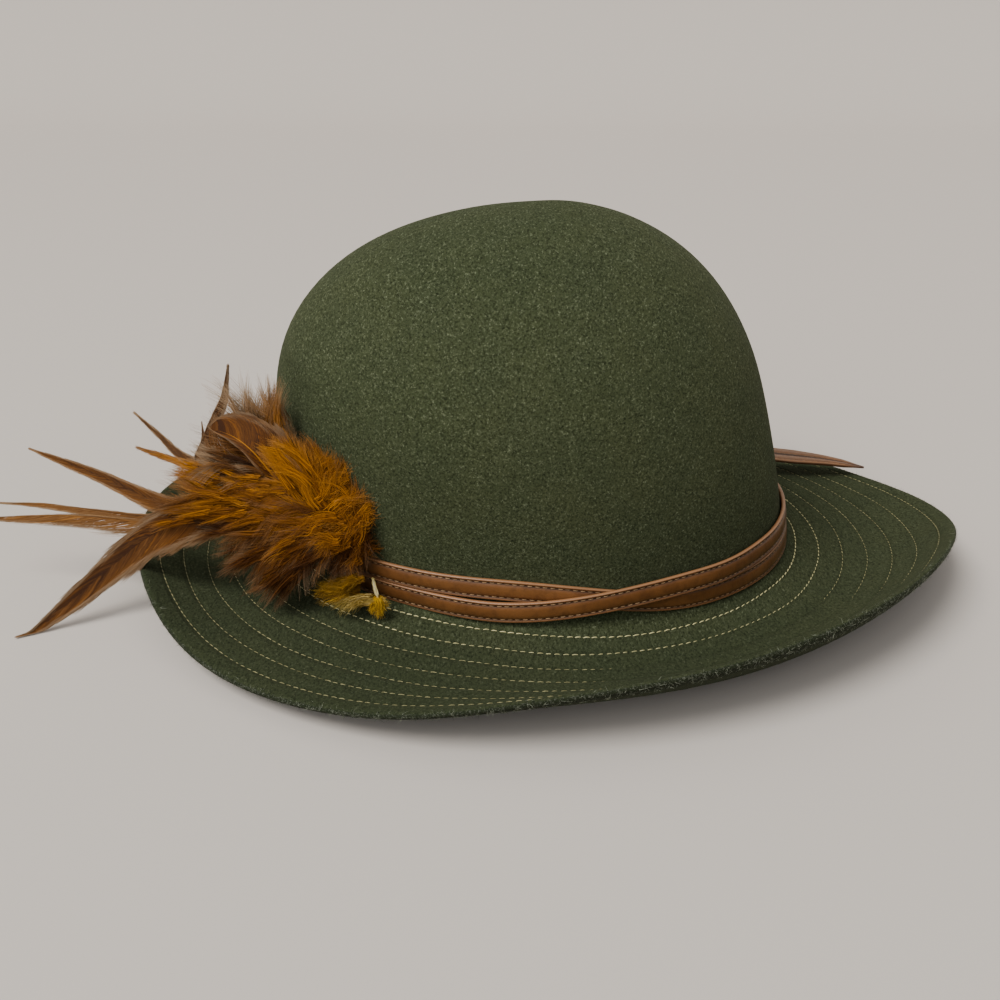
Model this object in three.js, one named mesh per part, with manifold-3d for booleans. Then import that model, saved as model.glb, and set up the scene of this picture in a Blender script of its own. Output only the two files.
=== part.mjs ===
// A felt hat with a round crown, a waved brim, two crossed leather straps and a plume of dyed feathers.
// Millimetres, +Z up. The hat rests on its brim at z = 0, with the plume at -X and the tie ends at +X.
import * as THREE from "three";
import { mergeVertices } from "three/addons/utils/BufferGeometryUtils.js";
import Module from "manifold-3d";

const wasm = await Module();
wasm.setup();

// Felt body
const CROWN_HALF_LENGTH = 101; // outside the felt at the head opening, along X
const CROWN_HALF_WIDTH = 83.3; // the same along Y
const CROWN_RISE = 134.7; // height scale of the crown over the head opening
const HEAD_LINE_Z = 7.9; // where the crown meets the top of the brim
const HEAD_LINE_SLOPE = 0.0066; // the head line rises a little towards +X
const CROWN_WALL = 2.4;
const BRIM_THICK = 2.8;
const BRIM_WIDTH = 71.5;
const AROUND = 64; // facets round the hat

// The crown's outline as a stretch of a quarter ellipse: rise is the angle over the head line in degrees,
// left and right are the stretch towards -X and +X.
const CROWN = [
  { rise: 0, left: 1.0, right: 1.0 },
  { rise: 12, left: 1.08, right: 0.977 },
  { rise: 24, left: 1.197, right: 0.974 },
  { rise: 36, left: 1.215, right: 0.999 },
  { rise: 48, left: 1.154, right: 1.014 },
  { rise: 60, left: 1.083, right: 1.013 },
  { rise: 72, left: 1.03, right: 1.003 },
  { rise: 90, left: 0.997, right: 0.997 },
];

// The brim's slope in degrees, upwards being positive, at the crown, half way out and at the edge.
// direction is the angle round the hat from +X towards +Y.
const BRIM = [
  { direction: 0, crown: -17.7, middle: 5.8, edge: 32.4 },
  { direction: 22.5, crown: -5.5, middle: -4.7, edge: 9.4 },
  { direction: 45, crown: -1.4, middle: -6.9, edge: 0.5 },
  { direction: 67.5, crown: 0.5, middle: -4.6, edge: -1.7 },
  { direction: 90, crown: 1.1, middle: 5.0, edge: 19.4 },
  { direction: 112.5, crown: -2.6, middle: 14.6, edge: 44.7 },
  { direction: 135, crown: -6.9, middle: 10.9, edge: 36.0 },
  { direction: 157.5, crown: -11.9, middle: 4.7, edge: 27.6 },
  { direction: 180, crown: -19.3, middle: 8.2, edge: 46.6 },
  { direction: 202.5, crown: -20.2, middle: 8.2, edge: 42.6 },
  { direction: 225, crown: -14.1, middle: 1.6, edge: 13.4 },
  { direction: 247.5, crown: -15.7, middle: 4.1, edge: 17.0 },
  { direction: 270, crown: -26.7, middle: 13.8, edge: 43.6 },
  { direction: 292.5, crown: -34.9, middle: 20.1, edge: 55.9 },
  { direction: 315, crown: -36.7, middle: 23.2, edge: 62.7 },
  { direction: 337.5, crown: -31.3, middle: 19.1, edge: 59.0 },
];

// Leather straps
const STRAP_WIDTH = 8;
const STRAP_THICK = 1.8;
const STRAP_CORNER = 0.6;
const CLEARANCE = 0.35; // between any two pieces
const STRAP_MIDDLE = 8.9; // height of the pair's middle over the head line
const STRAP_SPREAD = 4.15; // each strap's middle from the pair's middle
const STRAP_SAG = { direction: 314, reach: 46, down: 0.9, out: 1 }; // where the brim falls away under the pair
const STRAP_LIFT = 2.15; // how far the outer strap stands off where it crosses the other
const FULL_LIFT = 0.84; // share of the crossing's reach that has the whole lift
const FRONT_CROSSING = { direction: 281, reach: 24 };
const TIE_CROSSING = { direction: 55, reach: 14 };
const LEFT_SIDE = 170; // the direction, away from both crossings, where the count of the crossings changes
const STRAP_STEPS = 90;

// Tie behind the crown: a wrap over the crossing, and two ends side by side that taper to their seam
const TIE_THICK = 2.6;
const TIE_HEIGHT = 15;
const TIE_REACH = 7; // degrees to each side of the crossing
const TIE_SIDES = 10;
const TIE_ROWS = 12;
const TIE_LOWEST = 0.6; // the wrap stays this far over the head line
const TIE_END_WIDTH = 8;
const TIE_END_THICK = 1.8;
const TIE_END_BESIDE = 0.96; // each end's middle from the seam, as a share of its half width
const TIE_START = 0.06; // share of the end's length that widens
const TIE_POINT = 0.3; // share of the end's length that tapers
const TIE_SEAM = [
  [61, 71, 12.5],
  [76, 71, 15],
  [91, 69.5, 15.4],
  [103, 69, 14.4],
  [116, 68.8, 12.8],
  [129, 68.4, 11.6],
  [142, 66.5, 10.6],
  [158, 61.5, 9.3],
];

// Plume: each lock and blade runs along its path, with half widths and half thicknesses in millimetres.
const QUILL_END = [-76, -64, 23];
const FLUFF = [
  { halfWidth: 9, halfThick: 5, path: [QUILL_END, [-91, -59, 48], [-103, -50, 66], [-112, -41, 82]] },
  { halfWidth: 8, halfThick: 4.5, path: [QUILL_END, [-84, -63, 50], [-94, -56, 64], [-103, -48, 80]] },
  { halfWidth: 9, halfThick: 5, path: [QUILL_END, [-104, -57, 45], [-118, -49, 60], [-129, -42, 73]] },
  { halfWidth: 9, halfThick: 5, path: [QUILL_END, [-108, -60, 36], [-125, -54, 41], [-143, -48, 43]] },
  { halfWidth: 8, halfThick: 4, path: [QUILL_END, [-93, -69, 21], [-103, -71, 18], [-110, -73, 13]] },
  { halfWidth: 8, halfThick: 4.5, path: [QUILL_END, [-72, -69, 40], [-76, -67, 50], [-84, -63, 62]] },
  { halfWidth: 9, halfThick: 5, path: [QUILL_END, [-97, -66, 28], [-112, -65, 28], [-126, -62, 29]] },
];
const HACKLE_THICK = 0.9;
const HACKLES = [
  {
    halfWidth: 4,
    path: [[-100, -60, 46], [-135, -50, 43], [-153, -44, 40], [-176, -36, 45], [-200, -30, 50]],
  },
  {
    halfWidth: 4,
    path: [[-100, -60, 38], [-135, -54, 35], [-155, -50, 30], [-186, -44, 29], [-220, -38, 30]],
  },
  {
    halfWidth: 5.5,
    path: [[-100, -60, 42], [-134, -57, 38], [-151, -59, 27], [-167, -67, 18], [-180, -77, 7], [-188, -85, 1.8]],
  },
  {
    halfWidth: 2.5,
    path: [[-106, -56, 48], [-129, -48, 53], [-140, -40, 55], [-149, -34, 59], [-157, -30, 66]],
  },
  {
    halfWidth: 3,
    path: [[-106, -56, 50], [-125, -50, 55], [-136, -44, 53], [-148, -38, 53], [-159, -34, 54]],
  },
  {
    halfWidth: 2,
    path: [[-108, -52, 58], [-127, -44, 66], [-128, -36, 71], [-126, -30, 77], [-123, -26, 83]],
  },
];
const UNDER_TUFT = {
  halfWidth: 5,
  halfThick: 2,
  path: [[-81, -54, 15], [-79, -65, 12.5], [-72, -70, 10], [-63, -75, 8.5]],
};

const LEATHER = { color: 0x6f5138, roughness: 0.55, metalness: 0 };
const material = (values) => new THREE.MeshStandardMaterial(values);
const degrees = THREE.MathUtils.degToRad;

// A smooth curve through the rows of a table. With turn set, the table goes round and repeats after turn.
function through(rows, input, output, x, turn) {
  const n = rows.length;
  const at = (i) => {
    if (!turn) return rows[THREE.MathUtils.clamp(i, 0, n - 1)];
    return rows[((i % n) + n) % n];
  };
  const place = (i) => (turn ? at(i)[input] + turn * Math.floor(i / n) : at(i)[input]);
  let i = 0;
  const value = turn ? THREE.MathUtils.euclideanModulo(x, turn) : x;
  while (i < n - (turn ? 1 : 2) && value >= place(i + 1)) i += 1;
  const width = place(i + 1) - place(i);
  const slope = (k) => {
    if (!turn && k === 0) return (at(1)[output] - at(0)[output]) / (place(1) - place(0));
    if (!turn && k === n - 1) return 0;
    return (at(k + 1)[output] - at(k - 1)[output]) / (place(k + 1) - place(k - 1));
  };
  const t = (value - place(i)) / width;
  const a = at(i)[output];
  const b = at(i + 1)[output];
  const bend = width * (slope(i) * t * (1 - t) * (1 - t) - slope(i + 1) * t * t * (1 - t));
  return a + (b - a) * t * t * (3 - 2 * t) + bend;
}

const headLineZ = (x) => HEAD_LINE_Z + HEAD_LINE_SLOPE * x;

// A point of the crown, a quarter ellipse stretched by the table, with its half sizes cut back by inset.
function crownPoint(direction, rise, inset) {
  const side = (1 + Math.cos(direction)) / 2;
  const left = through(CROWN, "rise", "left", rise);
  const right = through(CROWN, "rise", "right", rise);
  const stretch = left * (1 - side) + right * side;
  const out = stretch * Math.cos(degrees(rise));
  const x = (CROWN_HALF_LENGTH - inset) * out * Math.cos(direction);
  const y = (CROWN_HALF_WIDTH - inset) * out * Math.sin(direction);
  const up = (CROWN_RISE - inset) * stretch * Math.sin(degrees(rise));
  return new THREE.Vector3(x, y, headLineZ(CROWN_HALF_LENGTH * Math.cos(direction)) + up);
}

// The horizontal direction straight out from the crown.
function outward(direction) {
  const x = CROWN_HALF_WIDTH * Math.cos(direction);
  const y = CROWN_HALF_LENGTH * Math.sin(direction);
  return new THREE.Vector3(x, y, 0).normalize();
}

const SLOPE_STEPS = 24;

// The brim's upper surface at a distance from the crown along the felt, and its slope there.
function brimTop(direction, distance) {
  const turn = THREE.MathUtils.radToDeg(direction);
  const crown = through(BRIM, "direction", "crown", turn, 360);
  const middle = through(BRIM, "direction", "middle", turn, 360);
  const edge = through(BRIM, "direction", "edge", turn, 360);
  const slopeAt = (u) =>
    degrees(crown * (1 - u) * (1 - 2 * u) + middle * 4 * u * (1 - u) + edge * u * (2 * u - 1));
  let out = 0;
  let up = 0;
  for (let k = 0; k < SLOPE_STEPS; k += 1) {
    const slope = slopeAt(((k + 0.5) / SLOPE_STEPS) * (distance / BRIM_WIDTH));
    out += (Math.cos(slope) * distance) / SLOPE_STEPS;
    up += (Math.sin(slope) * distance) / SLOPE_STEPS;
  }
  const point = crownPoint(direction, 0, 0);
  point.addScaledVector(outward(direction), out);
  point.z += up;
  return { point, slope: slopeAt(distance / BRIM_WIDTH) };
}

// A point between the brim's two faces, the top at depth 0. The underside, at depth 1, stays above the floor.
function brimPoint(direction, distance, depth) {
  const { point, slope } = brimTop(direction, distance);
  const under = point.clone().addScaledVector(outward(direction), BRIM_THICK * Math.sin(slope));
  under.z = Math.max(point.z - BRIM_THICK * Math.cos(slope), 0);
  point.z = Math.max(point.z, under.z + BRIM_THICK * Math.cos(slope));
  return point.lerp(under, depth);
}

// A closed skin made from a sphere's grid: row 0 and the last row are its poles.
function skin(around, rows, pointAt) {
  const sphere = new THREE.SphereGeometry(1, around, rows);
  const position = sphere.getAttribute("position");
  for (let row = 0; row <= rows; row += 1) {
    for (let k = 0; k <= around; k += 1) {
      const point = pointAt(row, ((k % around) / around) * 2 * Math.PI);
      position.setXYZ(row * (around + 1) + k, point.x, point.y, point.z);
    }
  }
  sphere.deleteAttribute("normal");
  sphere.deleteAttribute("uv");
  return mergeVertices(sphere, 1e-4);
}

const EDGE_ROUNDING = 1; // millimetres of the brim's width
const CROWN_RISES = [83, 75, 67, 59, 51, 43, 35, 28, 21, 14, 8, 3.5];
const WALL_RISES = [-2, 40];
const HALVINGS = 40;
const BRIM_STEPS = [0, 7, 14, 21, 28, 35, 42, 49, 56, 63, 68];

function feltBody() {
  const last = BRIM_WIDTH - EDGE_ROUNDING;
  const row = [];
  row.push(() => crownPoint(0, 90, 0));
  CROWN_RISES.forEach((rise) => row.push((d) => crownPoint(d, rise, 0)));
  BRIM_STEPS.forEach((s) => row.push((d) => brimPoint(d, s, 0)));
  row.push((d) => brimPoint(d, last, 0.08));
  row.push((d) => brimPoint(d, BRIM_WIDTH, 0.5));
  row.push((d) => brimPoint(d, last, 0.92));
  [...BRIM_STEPS].reverse().forEach((s) => row.push((d) => brimPoint(d, s, 1)));
  [...CROWN_RISES].reverse().forEach((rise) => row.push((d) => crownPoint(d, rise, CROWN_WALL)));
  row.push(() => crownPoint(0, 90, CROWN_WALL));
  return skin(AROUND, row.length - 1, (r, d) => row[r](d));
}

// The crown's wall at a height over the head line, found by halving a range of rises.
function wallPoint(direction, height) {
  let [low, high] = WALL_RISES;
  const floor = headLineZ(CROWN_HALF_LENGTH * Math.cos(direction));
  for (let k = 0; k < HALVINGS; k += 1) {
    const middle = (low + high) / 2;
    if (crownPoint(direction, middle, 0).z - floor < height) low = middle;
    else high = middle;
  }
  return crownPoint(direction, (low + high) / 2, 0);
}

const bell = (x) => (Math.abs(x) < 1 ? (1 + Math.cos(Math.PI * x)) / 2 : 0);

// 1 where the first strap is the upper one, -1 where it is the lower one.
function order(direction) {
  const turn = THREE.MathUtils.radToDeg(direction);
  const step = (crossing) => {
    const x = THREE.MathUtils.clamp((turn - crossing.direction) / crossing.reach, -1, 1);
    return Math.sin((Math.PI / 2) * x);
  };
  if (turn < LEFT_SIDE) return step(TIE_CROSSING);
  return -step(FRONT_CROSSING);
}

const sag = (direction) =>
  bell((THREE.MathUtils.radToDeg(direction) - STRAP_SAG.direction) / STRAP_SAG.reach);

// How far the outer strap stands off the wall: all the way where the pair crosses, easing down to each side.
function standOff(direction) {
  const turn = THREE.MathUtils.radToDeg(direction);
  const near = (crossing) => {
    const past = Math.abs(turn - crossing.direction) / crossing.reach - FULL_LIFT;
    return past <= 0 ? 1 : bell(past);
  };
  return STRAP_LIFT * Math.max(near(FRONT_CROSSING), near(TIE_CROSSING));
}

// The strap's cross-section as steps out from the wall and up from its middle.
const STRAP_SECTION = [
  [0, -STRAP_WIDTH / 2],
  [STRAP_THICK - STRAP_CORNER, -STRAP_WIDTH / 2],
  [STRAP_THICK, -STRAP_WIDTH / 2 + STRAP_CORNER],
  [STRAP_THICK, STRAP_WIDTH / 2 - STRAP_CORNER],
  [STRAP_THICK - STRAP_CORNER, STRAP_WIDTH / 2],
  [0, STRAP_WIDTH / 2],
];

function strap(isOuter) {
  const sides = STRAP_SECTION.length;
  const ring = new THREE.TorusGeometry(1, 0.1, sides, STRAP_STEPS);
  const position = ring.getAttribute("position");
  for (let side = 0; side <= sides; side += 1) {
    const [out, up] = STRAP_SECTION[side % sides];
    for (let k = 0; k <= STRAP_STEPS; k += 1) {
      const direction = ((k % STRAP_STEPS) / STRAP_STEPS) * 2 * Math.PI;
      const place = order(direction) * (isOuter ? -1 : 1);
      const height = STRAP_MIDDLE + place * STRAP_SPREAD + up - STRAP_SAG.down * sag(direction);
      const off = CLEARANCE + out + STRAP_SAG.out * sag(direction) + (isOuter ? standOff(direction) : 0);
      const point = wallPoint(direction, height).addScaledVector(outward(direction), off);
      position.setXYZ(side * (STRAP_STEPS + 1) + k, point.x, point.y, point.z);
    }
  }
  ring.deleteAttribute("normal");
  ring.deleteAttribute("uv");
  return mergeVertices(ring, 1e-4);
}

// A lock, blade or tie end along a path, broad across the line of sight named by facing. shape gives its width
// along the path, and beside moves its middle by that share of the width to one side.
function lock({ halfWidth, halfThick, path, beside = 0 }, { facing, sides, rows, shape }) {
  const curve = new THREE.CatmullRomCurve3(path.map((p) => new THREE.Vector3(...p)));
  const face = new THREE.Vector3(...facing).normalize();
  return skin(sides, rows, (row, angle) => {
    const t = row / rows;
    const point = curve.getPointAt(t);
    const along = curve.getTangentAt(t);
    const across = new THREE.Vector3().crossVectors(face, along).normalize();
    const deep = new THREE.Vector3().crossVectors(along, across).normalize();
    const taper = row === 0 || row === rows ? 0 : shape(t);
    point.addScaledVector(across, (Math.cos(angle) + beside) * halfWidth * taper);
    point.addScaledVector(deep, Math.sin(angle) * halfThick * taper);
    return point;
  });
}

// Widths along a feather, blunter for a smaller power, and along a tie's end.
const featherShape = (power) => (t) => Math.pow(Math.sin(Math.PI * t), power);
const tieShape = (t) => Math.min(1, t / TIE_START, (1 - t) / TIE_POINT);

const FLUFF_FORM = { facing: [0, -0.92, 0.4], sides: 7, rows: 8, shape: featherShape(0.4) };
const HACKLE_FORM = { facing: [0.1, -0.85, 0.5], sides: 4, rows: 10, shape: featherShape(0.6) };
const TUFT_FORM = { facing: [0, -0.5, 0.85], sides: 6, rows: 8, shape: featherShape(0.5) };
const TIE_FORM = { facing: [0.15, 0, 1], sides: 8, rows: 16, shape: tieShape };

const solid = (geometry) => {
  const triVerts = new Uint32Array(geometry.index.array);
  const vertProperties = new Float32Array(geometry.getAttribute("position").array);
  const made = new wasm.Manifold(new wasm.Mesh({ numProp: 3, vertProperties, triVerts }));
  if (made.volume() > 0) return made;
  for (let i = 0; i < triVerts.length; i += 3) {
    [triVerts[i + 1], triVerts[i + 2]] = [triVerts[i + 2], triVerts[i + 1]];
  }
  return new wasm.Manifold(new wasm.Mesh({ numProp: 3, vertProperties, triVerts }));
};

const joined = (pieces) => pieces.reduce((whole, piece) => whole.add(piece));

const largest = (whole) =>
  whole.decompose().reduce((best, body) => (body.volume() > best.volume() ? body : best));

function geometryOf(made) {
  const mesh = made.getMesh();
  const geometry = new THREE.BufferGeometry();
  geometry.setAttribute("position", new THREE.BufferAttribute(new Float32Array(mesh.vertProperties), 3));
  geometry.setIndex(new THREE.BufferAttribute(new Uint32Array(mesh.triVerts), 1));
  return geometry;
}

const ABOVE_STRAPS = 0.1; // the step back from the straps to the crown's wall
const STRAP_SPACE_FOOT = 0.55; // over the head line
const AROUND_EDGE = 0.65; // clearance round the brim's edge
const BELOW_HAT = -60;

// The space of the crown, straps and brim with a little clearance, from which feathers and tie are cut back.
function keepOut(strapDepth) {
  const top = STRAP_MIDDLE + STRAP_SPREAD + STRAP_WIDTH / 2 + CLEARANCE;
  const above = new THREE.Vector3(0, 0, CLEARANCE);
  const row = [];
  row.push(() => crownPoint(0, 90, -CLEARANCE));
  CROWN_RISES.slice(0, -2).forEach((rise) => row.push((d) => crownPoint(d, rise, -CLEARANCE)));
  row.push((d) => wallPoint(d, top + ABOVE_STRAPS).addScaledVector(outward(d), CLEARANCE));
  row.push((d) => wallPoint(d, top).addScaledVector(outward(d), strapDepth(d)));
  row.push((d) => wallPoint(d, STRAP_SPACE_FOOT).addScaledVector(outward(d), strapDepth(d)));
  BRIM_STEPS.slice(1).forEach((s) => row.push((d) => brimPoint(d, s, 0).add(above)));
  row.push((d) => brimPoint(d, BRIM_WIDTH, 0).addScaledVector(outward(d), AROUND_EDGE));
  row.push((d) => brimPoint(d, BRIM_WIDTH, 1).addScaledVector(outward(d), AROUND_EDGE));
  row.push(() => new THREE.Vector3(0, 0, BELOW_HAT));
  return solid(skin(AROUND * 2, row.length - 1, (r, d) => row[r](d)));
}

const strapSpace = keepOut((d) => 2 * CLEARANCE + STRAP_THICK + standOff(d));

// A rounded leather wrap outside the crossing behind the crown, with two pointed ends.
function tie() {
  const middle = degrees(TIE_CROSSING.direction);
  const reach = degrees(TIE_REACH);
  const off = 2 * CLEARANCE + STRAP_THICK + STRAP_LIFT + TIE_THICK / 2;
  const wrap = skin(TIE_SIDES, TIE_ROWS, (row, angle) => {
    const t = row / TIE_ROWS;
    const direction = middle - reach + 2 * reach * t;
    const round = row === 0 || row === TIE_ROWS ? 0 : Math.pow(Math.sin(Math.PI * t), 0.35);
    const height = STRAP_MIDDLE + (Math.cos(angle) * TIE_HEIGHT * round) / 2;
    const depth = (Math.sin(angle) * TIE_THICK * round) / 2;
    return wallPoint(direction, Math.max(height, TIE_LOWEST)).addScaledVector(outward(direction), off + depth);
  });
  const size = { halfWidth: TIE_END_WIDTH / 2, halfThick: TIE_END_THICK / 2, path: TIE_SEAM };
  const lower = solid(lock({ ...size, beside: -TIE_END_BESIDE }, TIE_FORM));
  const upper = solid(lock({ ...size, beside: TIE_END_BESIDE }, TIE_FORM));
  return largest(joined([solid(wrap), lower, upper]).subtract(strapSpace));
}

function plume() {
  const fluff = FLUFF.map((each) => solid(lock(each, FLUFF_FORM)));
  const hackles = HACKLES.map((each) => solid(lock({ ...each, halfThick: HACKLE_THICK }, HACKLE_FORM)));
  return largest(joined([...fluff, ...hackles]).subtract(strapSpace));
}

function underTuft() {
  return largest(solid(lock(UNDER_TUFT, TUFT_FORM)).subtract(strapSpace));
}

const hat = new THREE.Group();

function addPiece(name, geometry, look) {
  const piece = new THREE.Mesh(geometry, material(look));
  piece.name = name;
  hat.add(piece);
}

addPiece("felt_body", geometryOf(solid(feltBody())), { color: 0x4e523b, roughness: 0.95, metalness: 0 });
addPiece("strap_inner", geometryOf(solid(strap(false))), LEATHER);
addPiece("strap_outer", geometryOf(solid(strap(true))), LEATHER);
addPiece("strap_tie", geometryOf(tie()), LEATHER);
addPiece("feather_plume", geometryOf(plume()), { color: 0x9a5a1e, roughness: 0.85, metalness: 0 });
addPiece("feather_tuft", geometryOf(underTuft()), { color: 0xc79a2c, roughness: 0.85, metalness: 0 });

// The origin is under the middle of the hat's box, on the floor.
const box = new THREE.Box3().setFromObject(hat);
hat.position.set(-(box.min.x + box.max.x) / 2, -(box.min.y + box.max.y) / 2, -box.min.z);

export default hat;
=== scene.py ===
import math

import bmesh
import bpy
import numpy as np
from mathutils import Matrix, Vector
from mathutils.bvhtree import BVHTree


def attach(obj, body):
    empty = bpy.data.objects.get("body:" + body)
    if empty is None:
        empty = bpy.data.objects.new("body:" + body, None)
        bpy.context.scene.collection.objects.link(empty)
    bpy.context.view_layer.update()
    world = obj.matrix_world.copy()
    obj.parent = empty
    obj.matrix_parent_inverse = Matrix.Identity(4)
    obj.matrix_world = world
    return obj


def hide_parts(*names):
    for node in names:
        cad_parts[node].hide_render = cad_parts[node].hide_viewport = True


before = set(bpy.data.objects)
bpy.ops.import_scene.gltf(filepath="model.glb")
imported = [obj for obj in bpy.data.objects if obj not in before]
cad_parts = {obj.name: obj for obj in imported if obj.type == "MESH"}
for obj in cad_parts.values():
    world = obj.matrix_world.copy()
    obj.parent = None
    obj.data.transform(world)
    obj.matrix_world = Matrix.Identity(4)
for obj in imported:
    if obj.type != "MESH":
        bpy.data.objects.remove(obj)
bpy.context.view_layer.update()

MM = 0.001
FULL_TURN = 2 * math.pi
DOWN = Vector((0, 0, -1))

# Felt: the outside of the crown at the head line, and the brim's width along the felt
HEAD_HALF_LENGTH = 101 * MM
HEAD_HALF_WIDTH = 83.3 * MM
HEAD_LINE_HEIGHT = 7.9 * MM
BRIM_WIDTH = 71.5 * MM
NAP_AND_SHADE_REACH = 20 * MM  # the brim's pressed nap and its painted shade are full this far out
CUT_EDGE = 1.9 * MM  # width of the look of the cut edge
OUTER_BRIM = 30 * MM  # the cut edge lies further out than this
EDGE_BAND = 2.2 * MM  # width of the band of raised fibres along the edge
EDGE_FIBRES = 11000
NAP_FIBRES = 2500
FIBRE_SPREAD = 0.7 * MM

# How the brim is measured: in how many directions, from where, in what steps and how far out
TABLE_TURNS = 240
TABLE_START = 0.4 * MM
TABLE_STEP = 0.75 * MM
TABLE_REACH = 90 * MM

# Rays down onto the brim start this far above the height before, or for stitches above the floor, where those
# near the crown start below its bulge
RAY_ABOVE = 4 * MM
RAY_LENGTH = 20 * MM
NEAR_CROWN = 125 * MM
NEAR_RAY = 13.5 * MM
FAR_RAY = 50 * MM

# Rows of stitches round the brim, with directions in degrees
ROW_FIRST = 7.25 * MM
ROW_SPACING = 9.6 * MM
ROW_FRONT = 288  # where the first rows lie furthest out
ROW_FRONT_HALF = 60
FURROW_HALF = 0.9 * MM
STITCH_PITCH = 3.0 * MM
STITCH_SLANT = 0.13 * MM
STITCH_STRAY = 0.08 * MM
STITCH_WANDER = 0.12 * MM
WORN = (268, 338)  # from and to which the felt's nap has covered the outer rows
WORN_FADE = 14

# Threads: points along a stitch and round it
STITCH_POINTS = 5
TUBE_SIDES = 5
ANY_WAY = (0.31, 0.17, 0.93)  # where a tube's sides may face anywhere

# Straps
STRAP_WIDTH = 8.2 * MM
STRAP_THICK = 1.8 * MM
STRAP_RINGS = 90
STRAP_FINE = 5  # fine rings to each ring of the frame
STRAP_STITCH_PITCH = 2.7 * MM
STRAP_STITCH = 0.72 * STRAP_STITCH_PITCH
STRAP_STITCH_INSET = 1.3 * MM
STRAP_STITCH_STRAY = 0.05 * MM
STRAP_THREAD_RADII = 0.155 * MM * np.array([0.5, 1, 1, 1, 0.5])

# Feathers: half the width of a soft barb, how near the felt a point is tested, and how far barbs and quills
# stay off the felt and the floor
SOFT_BARB = 0.085 * MM
FELT_NEAR = 12 * MM
BARB_CLEARANCE = 0.35 * MM
QUILL_CLEARANCE = 0.4 * MM
FLOOR_CLEARANCE = 0.6 * MM

# Camera: millimetres, degrees, and the width of the picture whose places seen() takes
CAMERA_PLACE = (11.44, -395.57, 194.13)
CAMERA_YAW = -0.82
CAMERA_PITCH = 24.12
CAMERA_ROLL = 0.12
PICTURE = 1000

KEY_FROM = (-0.75, -0.55, 1.35)
FILL_FROM = (-0.75, -1.35, 1.0)

felt_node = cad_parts["felt_body"]


def mesh_values(mesh, kind="co"):
    """A mesh's vertices as an array, or their normals."""
    flat = np.zeros(len(mesh.vertices) * 3)
    mesh.vertices.foreach_get(kind, flat)
    return flat.reshape(-1, 3)


felt_points = mesh_values(felt_node.data)
head_centre = felt_points[felt_points[:, 2].argmax()] * [1, 1, 0]


def at(x, y, z):
    """A place given in millimetres from the middle of the head, on the floor."""
    return head_centre + np.array([x, y, z]) * MM


def camera_axes():
    """The camera's directions ahead, to its right and up."""
    yaw, pitch, roll = (math.radians(a) for a in (CAMERA_YAW, CAMERA_PITCH, CAMERA_ROLL))
    ahead = Vector((math.sin(yaw) * math.cos(pitch), math.cos(yaw) * math.cos(pitch), -math.sin(pitch)))
    right = Vector((math.cos(yaw), -math.sin(yaw), 0))
    up = right.cross(ahead)
    turned_right = math.cos(roll) * right + math.sin(roll) * up
    turned_up = -math.sin(roll) * right + math.cos(roll) * up
    return ahead, turned_right, turned_up


def seen(x, y, depth):
    """The place that the camera sees at x, y of its picture, depth millimetres behind the head's middle."""
    ahead, right, up = (np.array(axis) for axis in camera_axes())
    ray = ahead + right * (x - PICTURE / 2) / PICTURE - up * (y - PICTURE / 2) / PICTURE
    start = np.array(CAMERA_PLACE) * MM
    return start + ray * (head_centre[1] + depth * MM - start[1]) / ray[1]


# Mesh helpers


def make_mesh(name, points, faces):
    """A smooth mesh from an array of points and one of faces that all have the same number of corners."""
    faces = np.asarray(faces, np.int32)
    mesh = bpy.data.meshes.new(name)
    mesh.vertices.add(len(points))
    mesh.vertices.foreach_set("co", np.asarray(points, np.float32).ravel())
    mesh.loops.add(faces.size)
    mesh.loops.foreach_set("vertex_index", faces.ravel())
    mesh.polygons.add(len(faces))
    mesh.polygons.foreach_set("loop_start", np.arange(len(faces), dtype=np.int32) * faces.shape[1])
    mesh.polygons.foreach_set("use_smooth", np.ones(len(faces), bool))
    mesh.update(calc_edges=True)
    return mesh


def add_values(mesh, name, values):
    """A number for each vertex, which the material reads by name."""
    layer = mesh.attributes.new(name, "FLOAT", "POINT")
    layer.data.foreach_set("value", np.asarray(values, np.float32))


def put(name, data):
    """A new object in the scene."""
    item = bpy.data.objects.new(name, data)
    bpy.context.scene.collection.objects.link(item)
    return item


def show(name, mesh, material, stands_for=()):
    """A piece of the hat, which takes the place of the frame's nodes that it stands for."""
    piece = put(name, mesh)
    mesh.materials.append(material)
    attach(piece, "root")
    if stands_for:
        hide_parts(*stands_for)


def unit(vectors):
    return vectors / np.maximum(np.linalg.norm(vectors, axis=-1, keepdims=True), 1e-12)


def dots(a, b):
    """The dot product of each row with the same row of the other array."""
    return np.einsum("ij,ij->i", a, b)


def tubes(lines, radii, normals=ANY_WAY):
    """Round tubes along many lines of equal length: lines and normals (n, m, 3), radii (n, m)."""
    n, m, _ = lines.shape
    along = unit(np.gradient(lines, axis=1))
    across = unit(np.cross(np.broadcast_to(normals, lines.shape), along))
    up = np.cross(along, across)
    turn = np.arange(TUBE_SIDES) / TUBE_SIDES * FULL_TURN
    ring = np.cos(turn)[:, None] * across[:, :, None, :] + np.sin(turn)[:, None] * up[:, :, None, :]
    points = lines[:, :, None, :] + ring * radii[:, :, None, None]
    index = np.arange(n * m * TUBE_SIDES).reshape(n, m, TUBE_SIDES)
    here, there = index[:, :-1, :], index[:, 1:, :]
    faces = np.stack([here, np.roll(here, -1, axis=2), np.roll(there, -1, axis=2), there], axis=-1)
    return points.reshape(-1, 3), faces.reshape(-1, 4)


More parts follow.
